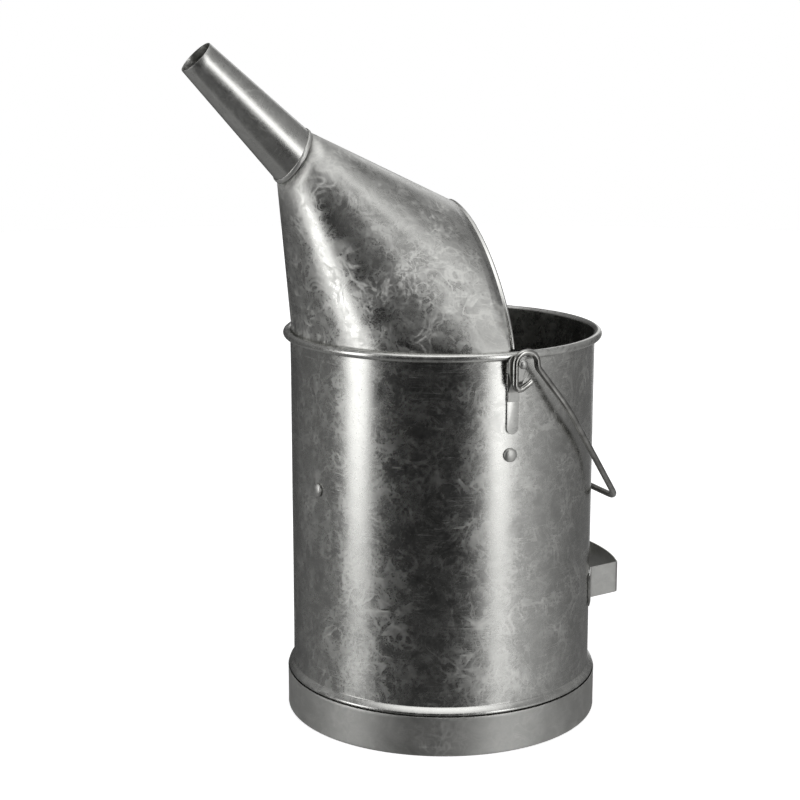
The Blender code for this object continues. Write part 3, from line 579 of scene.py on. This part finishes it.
def make_hood():
    """The hood, bent from one sheet along straight lines, with a skirt down inside the rim."""
    bm = bmesh.new()
    uv = bm.loops.layers.uv.new("surface")

    def patch(columns, rows, where):
        spots = [[bm.verts.new(where(c, r)) for r in range(rows + 1)] for c in range(columns + 1)]
        for c in range(columns):
            for r in range(rows):
                face = bm.faces.new((spots[c][r], spots[c + 1][r], spots[c + 1][r + 1], spots[c][r + 1]))
                for loop in face.loops:
                    spot = loop.vert.co
                    loop[uv].uv = (math.atan2(spot.y, AXIS_X - spot.x) * BODY_RADIUS * 0.8, spot.z)

    def ruled(column, row):
        base, top = hood_ruling(column)
        return base.lerp(top, row / HOOD_ROWS)

    def panel(column, row):
        return ruled(FRONT_COLUMNS, row).lerp(ruled(FRONT_COLUMNS + 1, row), column / PANEL_COLUMNS)

    def rear(column, row):
        return ruled(FRONT_COLUMNS + 1 + column, row)

    def corner(column, row):
        share = column / CORNER_COLUMNS
        base = rim_point(PANEL_RIM + (corner_degrees() - PANEL_RIM) * share)
        return base.lerp(arch_share_point(PANEL_ARCH * (1.0 - share)), row / PANEL_COLUMNS)

    def skirt(column, row):
        if column <= FRONT_COLUMNS:
            degrees = PANEL_RIM * column / FRONT_COLUMNS
        else:
            share = (column - FRONT_COLUMNS) / CORNER_COLUMNS
            degrees = PANEL_RIM + (corner_degrees() - PANEL_RIM) * share
        base = rim_point(degrees)
        if row == 3:
            return base
        outward = Vector((base.x - AXIS_X, base.y, 0.0)).normalized() * (BODY_RADIUS - SHEET - GAP)
        return Vector((AXIS_X + outward.x, outward.y, RIM_HEIGHT - HOOD_SKIRT_DEPTH * (1 - row / 2)))

    patch(FRONT_COLUMNS, HOOD_ROWS, ruled)
    patch(PANEL_COLUMNS, HOOD_ROWS, panel)
    patch(REAR_COLUMNS, HOOD_ROWS, rear)
    patch(CORNER_COLUMNS, PANEL_COLUMNS, corner)
    patch(FRONT_COLUMNS + CORNER_COLUMNS, 3, skirt)
    bmesh.ops.remove_doubles(bm, verts=bm.verts, dist=0.00001)
    bmesh.ops.recalc_face_normals(bm, faces=bm.faces)
    low_corner = arch_point(-CORNER_Y, EDGE_INSET)
    eased = [v for v in bm.verts if not v.is_boundary and v.co.z > RIM_HEIGHT + HOOD_LIFT + 0.00001
             and (v.co - low_corner).length < EASED_REACH]
    for _ in range(EASING_PASSES):
        bmesh.ops.smooth_vert(bm, verts=eased, factor=0.5,
                              use_axis_x=True, use_axis_y=True, use_axis_z=True)
    mesh = bpy.data.meshes.new("hood_sheet")
    bm.to_mesh(mesh)
    bm.free()
    shade(mesh, 50.0)
    hood = link("hood_sheet", mesh)
    mirror = hood.modifiers.new("sides", "MIRROR")
    mirror.use_axis = (False, True, False)
    mirror.use_clip = True
    mirror.merge_threshold = 0.00005
    shell = hood.modifiers.new("sheet", "SOLIDIFY")
    shell.thickness = SHEET
    shell.offset = -1.0
    shell.use_even_offset = True
    apply_modifiers(hood)
    bm = bmesh.new()
    bm.from_mesh(hood.data)
    face_out(bm)
    bm.to_mesh(hood.data)
    bm.free()
    return hood


def make_hem():
    """The hood's rear edge: the sheet folded over a wire, flat where it lies back on the hood."""
    section = arc((-0.0004, 0.0), 0.0017, 62.0, 298.0, 14)
    section += [(0.0010, -0.0012), (0.0019, -0.0011), (0.0021, -0.0008)]
    section += [(0.0021, 0.0003), (0.0019, 0.0006), (0.0010, 0.0008)]
    rows = []
    steps = 120
    for step in range(steps + 1):
        side = math.sin((2.0 * step / steps - 1.0) * math.pi / 2)
        y = CORNER_Y * side
        spot = arch_point(y, EDGE_ROLL_RADIUS)
        ahead = arch_point(min(y + 0.0005, CORNER_Y), 0.0) - arch_point(max(y - 0.0005, -CORNER_Y), 0.0)
        spot += Vector((0.0, ahead.z, -ahead.y)).normalized() * EDGE_SINK
        spot.z += EDGE_RAISE
        share = 1.0 - math.acos(min(abs(side), 1.0)) / (math.pi / 2)
        late = max(0.0, (1.0 - share - PANEL_ARCH) / (1.0 - PANEL_ARCH))
        late = late * (1.0 - RIDGE_SHARE) + RIDGE_SHARE * late ** RIDGE_POWER
        top = neck_point(PANEL_NECK + (180.0 - PANEL_NECK) * late)
        if y > 0.0:
            top.y = -top.y
        ahead.normalize()
        along = top - spot
        along = (along - ahead * along.dot(ahead)).normalized()
        outward = along.cross(ahead)
        if outward.dot(spot - Vector((AXIS_X, 0.0, RIM_HEIGHT))) < 0.0:
            outward = -outward
        spot -= outward * HEM_SINK
        rows.append([tuple(spot + along * a + outward * b) for a, b in section])
    return grid_object("hood_hem", rows, wrap_columns=True, cap=True, sharp=45.0)


def spout_point(degrees, share, lift):
    centre, normal, upward = neck_frame()
    along = Vector((-math.cos(SPOUT_PITCH), 0.0, math.sin(SPOUT_PITCH)))
    across = Vector((math.sin(SPOUT_PITCH), 0.0, math.cos(SPOUT_PITCH)))
    angle = math.radians(degrees)
    side = Vector((0.0, -math.sin(angle), 0.0))
    low = centre + normal * GAP + (side - upward * math.cos(angle)) * (NECK_RADIUS + lift)
    high = centre + along * SPOUT_LENGTH + (side - across * math.cos(angle)) * (SPOUT_TIP_RADIUS + lift)
    return low.lerp(high, share)


def spout_ring(name, outline, steps=120):
    """A ring round the spout of (share of its length, lift) points."""
    rows = []
    for step in range(steps):
        rows.append([tuple(spout_point(360.0 * step / steps, share, lift)) for share, lift in outline])
    return grid_object(name, rows, wrap_rows=True, wrap_columns=True)


def make_spout():
    """The tapered spout, with its mouth's edge slightly rounded."""
    outer = [(s, 0.0) for s in np.linspace(0.0, 0.997, 22)]
    tip = [(0.9992, -0.00012), (1.0, -0.0004), (0.9992, -0.00068)]
    inner = [(s, -SHEET) for s in np.linspace(0.997, 0.0, 12)]
    return spout_ring("spout_tube", outer + tip + inner)


def make_collar():
    """The solder at the spout's foot, wiped low and a little uneven."""
    rows = []
    steps = 180
    for step in range(steps):
        angle = 2.0 * math.pi * step / steps
        spot = Vector((math.cos(angle) * 2.2, math.sin(angle) * 2.2, 0.0))
        end = 0.0041 + 0.0007 * noise.noise(spot) + 0.0003 * noise.noise(spot * 3.1)
        crest = 0.00062 + 0.00018 * noise.noise(spot * 2.3 + Vector((0.0, 0.0, 5.0)))
        ring = []
        for point in range(13):
            turned = math.pi * point / 12
            reach = 0.0004 + (end - 0.0004) * (0.5 - 0.5 * math.cos(turned))
            ring.append((reach / SPOUT_LENGTH, GAP + 0.00008 + crest * math.sin(turned) ** 0.8))
        ring += [(end / SPOUT_LENGTH, GAP), (0.0004 / SPOUT_LENGTH, GAP)]
        rows.append([tuple(spout_point(math.degrees(angle), share, lift)) for share, lift in ring])
    return grid_object("spout_band", rows, wrap_rows=True, wrap_columns=True)


# ---------------------------------------------------------------- ears and bail
def wall_matrix(degrees, height):
    angle = math.radians(degrees)
    spot = Vector((AXIS_X + BODY_RADIUS * math.cos(angle), BODY_RADIUS * math.sin(angle), height))
    return Matrix.Translation(spot) @ Matrix.Rotation(angle, 4, "Z") @ Matrix.Rotation(math.pi / 2, 4, "Y")


def make_strap(word, side):
    """The flat strap on the wall, round at its lower end and eased at its edges."""
    half = 0.0055
    outline = arc((0.0, 0.2812 + half), half, 180.0, 360.0, 20) + [(half, 0.3435), (-half, 0.3435)]
    bm = bmesh.new()
    uv = bm.loops.layers.uv.new("surface")
    inner = side * (BODY_RADIUS + GAP)
    face = bm.faces.new([bm.verts.new((AXIS_X + x, inner, z)) for x, z in outline])
    made = bmesh.ops.extrude_face_region(bm, geom=[face])
    for item in made["geom"]:
        if isinstance(item, bmesh.types.BMVert):
            item.co.y += side * 0.0010
    for item in bm.faces:
        for loop in item.loops:
            loop[uv].uv = (loop.vert.co.x, loop.vert.co.z)
    face_out(bm)
    mesh = bpy.data.meshes.new(word + "_strap_plate")
    bm.to_mesh(mesh)
    bm.free()
    strap = link(word + "_strap_plate", mesh)
    bevel(strap, 0.0003)
    apply_modifiers(strap)
    shade(strap.data, 35.0)
    return strap


def ramp_between(value, low, high):
    return min(max((value - low) / (high - low), 0.0), 1.0)


def make_lug(word, side):
    """The stamped plate that steps out over the rim's bead and carries the pin."""
    low, high = 0.3095, 0.3500
    rows, columns = 58, 12
    corner = 0.0065
    narrow, wide = 0.0052, 0.0080
    spots = []
    for row in range(rows + 1):
        z = low + (high - low) * row / rows
        half = narrow + (wide - narrow) * ramp_between(z - low, 0.015, 0.026)
        if z > high - corner:
            drop = z - (high - corner)
            half = wide - corner + math.sqrt(max(corner ** 2 - drop ** 2, 0.0))
        share = ramp_between(z - low, 0.008, 0.018)
        reach = 0.0016 + (0.0068 - 0.0016) * share * share * (3.0 - 2.0 * share) + 0.0006
        spots.append([(AXIS_X + half * (2.0 * c / columns - 1.0), side * (BODY_RADIUS + reach), z)
                      for c in range(columns + 1)])
    lug = grid_object(word + "_lug_plate", spots)
    shell = lug.modifiers.new("sheet", "SOLIDIFY")
    shell.thickness = 0.0012
    shell.offset = 0.0
    shell.use_even_offset = True
    bevel(lug, 0.00032, 3, 50.0)
    apply_modifiers(lug)
    shade(lug.data, 35.0)
    bm = bmesh.new()
    bm.from_mesh(lug.data)
    face_out(bm)
    bm.to_mesh(lug.data)
    bm.free()
    return lug


def dome(radius, base, height, edge=0.0004, steps=9):
    """Profile of a round head from its crown to its lower edge."""
    points = [(0.0, base + height)]
    for step in range(1, steps + 1):
        a = math.pi / 2 * step / steps
        points.append((radius * math.sin(a), base + edge + (height - edge) * math.cos(a)))
    return points + [(radius, base + edge * 0.4), (radius - edge * 0.5, base)]


def make_pin(word, side):
    """The headed pin that the bail's eye hangs on, seated in the lug."""
    matrix = wall_matrix(90.0 * side, PIVOT.z)
    matrix.translation.x += PIVOT.x - AXIS_X
    profile = dome(0.0040, 0.0141, 0.0028)
    profile += [(0.0021, 0.0141), (0.0021, 0.0084), (0.0030, 0.0082), (0.0030, 0.0080)]
    profile += [(0.0021, 0.0080), (0.0021, 0.0066), (0.0, 0.0066)]
    return turned_pin(word + "_pin_head", profile, matrix)


# Each rivet's name, its CAD node and where it is round the can, in degrees.
RIVETS = (("side_rivet", "side_level_rivet", 269.4), ("front_rivet", "front_level_rivet", 192.7))


def make_rivet(name, node, degrees):
    """A round-headed rivet in the wall, with its tail spread inside."""
    low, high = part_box(node)
    profile = dome(0.0060, 0.0002, 0.0027, 0.0007, 12) + [(0.0025, 0.0002), (0.0025, -0.0010)]
    profile += [(0.0046, -0.0011), (0.0048, -0.0014), (0.0046, -0.0023), (0.0030, -0.0026), (0.0, -0.0026)]
    return turned_pin(name, profile, wall_matrix(degrees, (low.z + high.z) / 2))


def rounded_path(corners, step_degrees=6.0):
    """A path through corners given as (point, bend radius), each corner rounded by an arc."""
    path = [corners[0][0]]
    for index in range(1, len(corners) - 1):
        point, radius = corners[index]
        before = (corners[index - 1][0] - point).normalized()
        after = (corners[index + 1][0] - point).normalized()
        opening = before.angle(after)
        bend = math.pi - opening
        middle = (before + after).normalized()
        centre = point + middle * radius / math.sin(opening / 2)
        steps = max(3, round(math.degrees(bend) / step_degrees))
        across = (before - after).normalized()
        for step in range(steps + 1):
            angle = bend * (step / steps - 0.5)
            path.append(centre - middle * radius * math.cos(angle) - across * radius * math.sin(angle))
    path.append(corners[-1][0])
    return path


def even_path(points, step):
    """The same path with a point every step, straight runs included."""
    made = [points[0]]
    for start, end in zip(points, points[1:]):
        count = max(1, round((end - start).length / step))
        made += [start.lerp(end, i / count) for i in range(1, count + 1)]
    return made


def bail_plane(along, out):
    x = AXIS_X + ARM_START[0] + along * math.cos(BAIL_TILT)
    return Vector((x, out, ARM_START[1] - along * math.sin(BAIL_TILT)))


def make_bail():
    """One wire: an eye on each pin, two arms that draw in, and a straight grip across the back."""
    out = -(BODY_RADIUS + BAIL_STANDOFF)
    left = AXIS_X - 0.0032
    eye = 0.0098
    right = left + 2.0 * eye
    crest = (BODY_RADIUS + BAIL_WIRE_RADIUS + GAP - ARM_START[0]) / math.cos(BAIL_TILT)
    arm_top = bail_plane(-0.015, out)
    arm_top.x -= 0.0004
    corners = [
        (Vector((AXIS_X + 0.0115, out, 0.3272)), 0.0),
        (Vector((left, out, 0.3178)), 0.0045),
        (Vector((left, out, 0.3524)), eye - 0.00001),
        (Vector((right, out, 0.3524)), eye - 0.00001),
        (arm_top, 0.0080),
        (bail_plane(0.0400, -0.1395), 0.1000),
        (bail_plane(crest, -0.0765), 0.0200),
        (bail_plane(crest, 0.0), 0.0),
    ]
    half = even_path(rounded_path(corners), 0.004)
    points = half + [Vector((p.x, -p.y, p.z)) for p in reversed(half[:-1])]
    return tube("bail_wire", points, BAIL_WIRE_RADIUS, 24)


# ---------------------------------------------------------------- tipping handle
def handle_back(y):
    sagitta = HANDLE_CREST_X - HANDLE_CORNER[0]
    bow = (HANDLE_CORNER[1] ** 2 + sagitta ** 2) / (2.0 * sagitta)
    return Vector((HANDLE_CREST_X - bow + math.sqrt(bow ** 2 - y ** 2), y, 0.0))


def make_handle():
    """The bent strap low at the back, its edges eased and its flanges flat on the wall."""
    face = BODY_RADIUS + GAP + HANDLE_THICKNESS / 2
    ends = (HANDLE_FLANGE_Y, (HANDLE_FLANGE_Y + HANDLE_FOOT_Y) / 2, HANDLE_FOOT_Y)
    flange = [Vector((math.sqrt(face ** 2 - y ** 2), y, 0.0)) for y in ends]
    back_y = HANDLE_CORNER[1] * 0.75
    half = rounded_path([
        (flange[0], 0.0),
        (flange[1], 0.04),
        (flange[2], 0.0025),
        (Vector((HANDLE_CORNER[0], HANDLE_CORNER[1], 0.0)), 0.0050),
        (handle_back(back_y), 0.04),
        (handle_back(back_y * 0.9), 0.0),
    ])
    half += [handle_back(back_y * share) for share in np.linspace(0.8, 0.0, 9)]
    half = even_path(half, 0.004)
    path = half + [Vector((p.x, -p.y, 0.0)) for p in reversed(half[:-1])]
    round_edge = 0.0006
    flat = (HANDLE_TOP - HANDLE_BOTTOM) / 2 - round_edge
    section = []
    for sign_z, sign_n, start in ((1, 1, 0), (1, -1, 90), (-1, -1, 180), (-1, 1, 270)):
        for step in range(5):
            a = math.radians(start + 90.0 * step / 4)
            across = sign_n * (HANDLE_THICKNESS / 2 - round_edge) + round_edge * math.cos(a)
            section.append((across, sign_z * flat + round_edge * math.sin(a)))
    rows = []
    for index, point in enumerate(path):
        ahead = (path[min(index + 1, len(path) - 1)] - path[max(index - 1, 0)]).normalized()
        aside = Vector((ahead.y, -ahead.x, 0.0))
        middle = (HANDLE_TOP + HANDLE_BOTTOM) / 2
        rows.append([(AXIS_X + point.x + aside.x * a, point.y + aside.y * a, middle + z)
                     for a, z in section])
    return grid_object("handle_strap", rows, wrap_columns=True, cap=True)


# ---------------------------------------------------------------- put together
neck_centre = tuple(neck_frame()[0])
hood_corners = [tuple(arch_point(side * CORNER_Y * 0.97, EDGE_INSET)) for side in (-1.0, 1.0)]
wall_metal = galvanised("galvanised_wall", 1.0, haze=0.15, contrast=0.75, frosting=1.3)
hood_metal = galvanised("galvanised_hood", 4.0, smoothness=0.27, haze=0.22, contrast=0.9, frosting=1.9,
                        flux=((neck_centre, 0.045), (hood_corners[0], 0.030), (hood_corners[1], 0.030)))
spout_metal = galvanised("galvanised_spout", 7.0, smoothness=0.28, haze=0.14, relief=0.15, contrast=0.6)
foot_metal = galvanised("galvanised_foot", 9.0, dark=0.29, light=0.64, smoothness=0.46, haze=0.12,
                        relief=0.15, contrast=0.6)
hem_metal = galvanised("galvanised_hem", 12.0, dark=0.42, light=0.78, smoothness=0.24, haze=0.12,
                       relief=0.12)
fitting_metal = galvanised("galvanised_fittings", 15.0, smoothness=0.30, haze=0.16)
handle_metal = galvanised("galvanised_handle", 16.0, dark=0.42, light=0.74, smoothness=0.34, haze=0.16,
                          contrast=0.7)
rivet_metal = galvanised("rivet_zinc", 17.0, dark=0.34, light=0.62, smoothness=0.40, haze=0.12)
dull_metal = galvanised("galvanised_dull", 18.0, dark=0.20, light=0.48, smoothness=0.36, haze=0.18)
solder_metal = galvanised("wiped_solder", 21.0, dark=0.46, light=0.80, smoothness=0.46, haze=0.16,
                          scratches=0.4)
wire_metal = steel_wire("drawn_wire", 2.0)

place(make_wall(), "can", "galvanised_sheet", wall_metal, "body_shell")
place(make_bottom(), "can", "dull_galvanised", dull_metal, "bottom_disc")
place(make_foot(), "can", "galvanised_sheet", foot_metal, "foot_hoop")
place(make_hood(), "can", "galvanised_sheet", hood_metal, "hood")
place(make_hem(), "can", "galvanised_sheet", hem_metal, "hood_edge_roll")
place(make_spout(), "can", "galvanised_sheet", spout_metal, "spout")
place(make_collar(), "can", "tinned_joint", solder_metal, "spout_collar")
for word, side in (("left", -1.0), ("right", 1.0)):
    place(make_strap(word, side), "can", "galvanised_sheet", fitting_metal, word + "_ear_strap")
    place(make_lug(word, side), "can", "dull_galvanised", dull_metal, word + "_ear_lug")
    place(make_pin(word, side), "can", "rivet_steel", rivet_metal, word + "_bail_pin")
for name, node, degrees in RIVETS:
    place(make_rivet(name, node, degrees), "can", "rivet_steel", rivet_metal, node)
place(make_bail(), "bail", "steel_wire", wire_metal, "bail")
place(make_handle(), "can", "galvanised_sheet", handle_metal, "tipping_handle")
for node_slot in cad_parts["rim_wire"].material_slots:
    node_slot.material = wire_metal


# ---------------------------------------------------------------- floor, light and camera
CAMERA_FROM_AXIS = Vector((-0.67259, -1.41010, 0.61513))
CAMERA_FORWARD = Vector((0.39958, 0.89294, -0.20736))
CAMERA_AZIMUTH = math.atan2(CAMERA_FROM_AXIS.y, CAMERA_FROM_AXIS.x)
CAMERA_LENS = 79.21
CAMERA_SENSOR = 36.0
FLOOR_RADIUS = 4.0
FLOOR_SINK = 0.0002
FLOOR_GREY = 0.86
FLOOR_EMISSION = 0.60


def make_floor():
    """A plain pale floor that the can stands on."""
    bm = bmesh.new()
    bmesh.ops.create_circle(bm, cap_ends=True, segments=96, radius=FLOOR_RADIUS)
    mesh = bpy.data.meshes.new("floor")
    bm.to_mesh(mesh)
    bm.free()
    floor = link("floor", mesh)
    floor.location = (AXIS_X, 0.0, -FLOOR_SINK)
    material = bpy.data.materials.new("pale_floor")
    material.use_nodes = True
    shader = material.node_tree.nodes["Principled BSDF"]
    shader.inputs["Base Color"].default_value = (FLOOR_GREY, FLOOR_GREY, FLOOR_GREY, 1.0)
    shader.inputs["Roughness"].default_value = 0.9
    shader.inputs["Emission Color"].default_value = (1.0, 1.0, 1.0, 1.0)
    shader.inputs["Emission Strength"].default_value = FLOOR_EMISSION
    mesh.materials.append(material)
    floor.visible_glossy = False
    floor.visible_diffuse = False
    floor.visible_shadow = False


# Radiance of the studio round the can, by degrees to the right of the camera as seen from the can.
ROOM = (
    (-180, 0.08), (-150, 0.08), (-126, 0.16), (-96, 0.18), (-70, 0.09), (-40, 0.014), (20, 0.016),
    (48, 0.64), (64, 0.62), (88, 0.36), (116, 0.20), (150, 0.17), (180, 0.08),
)
SOFT_LIGHTS = (
    (-180, 0.0), (-77, 0.0), (-72, 1.0), (-58, 1.0), (-53, 0.0), (34, 0.0), (39, 0.95), (47, 0.8),
    (56, 0.0), (158, 0.0), (164, 0.25), (172, 0.25), (178, 0.0),
)
# How each light fades with height: (from, to, value below, value above), heights as the sine of elevation.
ROOM_FADE = (0.15, 0.62, 1.0, 0.45)
SOFT_LIGHTS_FOOT = (-0.35, -0.16, 0.05, 1.0)
SOFT_LIGHTS_TOP = (0.36, 0.78, 3.75, 0.0)
OVERHEAD = (0.72, 0.95, 0.0, 1.0)
CEILING = (0.12, 0.50, 0.0, 0.15)
FLOOR_GLOW = (-0.43, -0.375, 0.12, 0.0)
# How the lights above change from behind the can to the camera's side: the same, by the cosine of azimuth.
OVERHEAD_TO_FRONT = (-0.2, 0.7, 0.75, 1.9)
CEILING_TO_FRONT = (-0.3, 0.6, 1.5, 1.0)


def make_world():
    """A dark studio with tall soft lights round it, and a white backdrop behind whatever is in view."""
    world = bpy.data.worlds.new("studio")
    bpy.context.scene.world = world
    world.use_nodes = True
    tree = world.node_tree
    tree.nodes.clear()

    def add(kind, **settings):
        node = tree.nodes.new(kind)
        for key, value in settings.items():
            setattr(node, key, value)
        return node

    def calc(operation, first, second=0.0, third=0.0):
        node = add("ShaderNodeMath", operation=operation)
        for socket, value in zip(node.inputs, (first, second, third)):
            if isinstance(value, bpy.types.NodeSocket):
                tree.links.new(value, socket)
            else:
                socket.default_value = value
        return node.outputs[0]

    def around(share, stops):
        ramp = add("ShaderNodeValToRGB")
        elements = ramp.color_ramp.elements
        for index, (degrees, radiance) in enumerate(stops):
            position = (degrees + 180.0) / 360.0
            element = elements[index] if index < 2 else elements.new(position)
            element.position = position
            element.color = (radiance, radiance, radiance, 1.0)
        tree.links.new(share, ramp.inputs["Fac"])
        return ramp.outputs["Color"]

    def fade(position, ends):
        node = add("ShaderNodeMapRange", interpolation_type="SMOOTHSTEP")
        tree.links.new(position, node.inputs["Value"])
        for key, value in zip(("From Min", "From Max", "To Min", "To Max"), ends):
            node.inputs[key].default_value = value
        return node.outputs["Result"]

    split = add("ShaderNodeSeparateXYZ")
    tree.links.new(add("ShaderNodeTexCoord").outputs["Generated"], split.inputs[0])
    azimuth = calc("ARCTAN2", split.outputs["Y"], split.outputs["X"])
    turned = calc("DIVIDE", calc("SUBTRACT", azimuth, CAMERA_AZIMUTH), 2.0 * math.pi)
    share = calc("FRACT", calc("ADD", turned, 0.5))
    height = split.outputs["Z"]
    front = calc("COSINE", calc("MULTIPLY", calc("SUBTRACT", share, 0.5), 2.0 * math.pi))
    lights = calc("MULTIPLY", around(share, SOFT_LIGHTS), fade(height, SOFT_LIGHTS_FOOT))
    lights = calc("MULTIPLY", lights, fade(height, SOFT_LIGHTS_TOP))
    overhead = calc("MULTIPLY", fade(height, OVERHEAD), fade(front, OVERHEAD_TO_FRONT))
    ceiling = calc("MULTIPLY", fade(height, CEILING), fade(front, CEILING_TO_FRONT))
    walls = calc("MULTIPLY", around(share, ROOM), fade(height, ROOM_FADE))
    room = calc("ADD", calc("ADD", walls, ceiling), fade(height, FLOOR_GLOW))
    total = calc("ADD", room, calc("ADD", lights, overhead))
    studio = add("ShaderNodeBackground")
    studio.inputs["Color"].default_value = (1.0, 1.0, 1.0, 1.0)
    tree.links.new(total, studio.inputs["Strength"])
    backdrop = add("ShaderNodeBackground")
    backdrop.inputs["Color"].default_value = (1.0, 1.0, 1.0, 1.0)
    backdrop.inputs["Strength"].default_value = 1.0
    either = add("ShaderNodeMixShader")
    tree.links.new(add("ShaderNodeLightPath").outputs["Is Camera Ray"], either.inputs["Fac"])
    tree.links.new(studio.outputs[0], either.inputs[1])
    tree.links.new(backdrop.outputs[0], either.inputs[2])
    tree.links.new(either.outputs[0], add("ShaderNodeOutputWorld").inputs["Surface"])


def make_camera():
    data = bpy.data.cameras.new("camera")
    data.lens = CAMERA_LENS
    data.sensor_width = CAMERA_SENSOR
    camera = bpy.data.objects.new("camera", data)
    bpy.context.scene.collection.objects.link(camera)
    camera.location = Vector((AXIS_X, 0.0, 0.0)) + CAMERA_FROM_AXIS
    camera.rotation_euler = CAMERA_FORWARD.to_track_quat("-Z", "Y").to_euler()
    bpy.context.scene.camera = camera


make_floor()
make_world()
make_camera()
bpy.context.scene.view_settings.view_transform = "Standard"
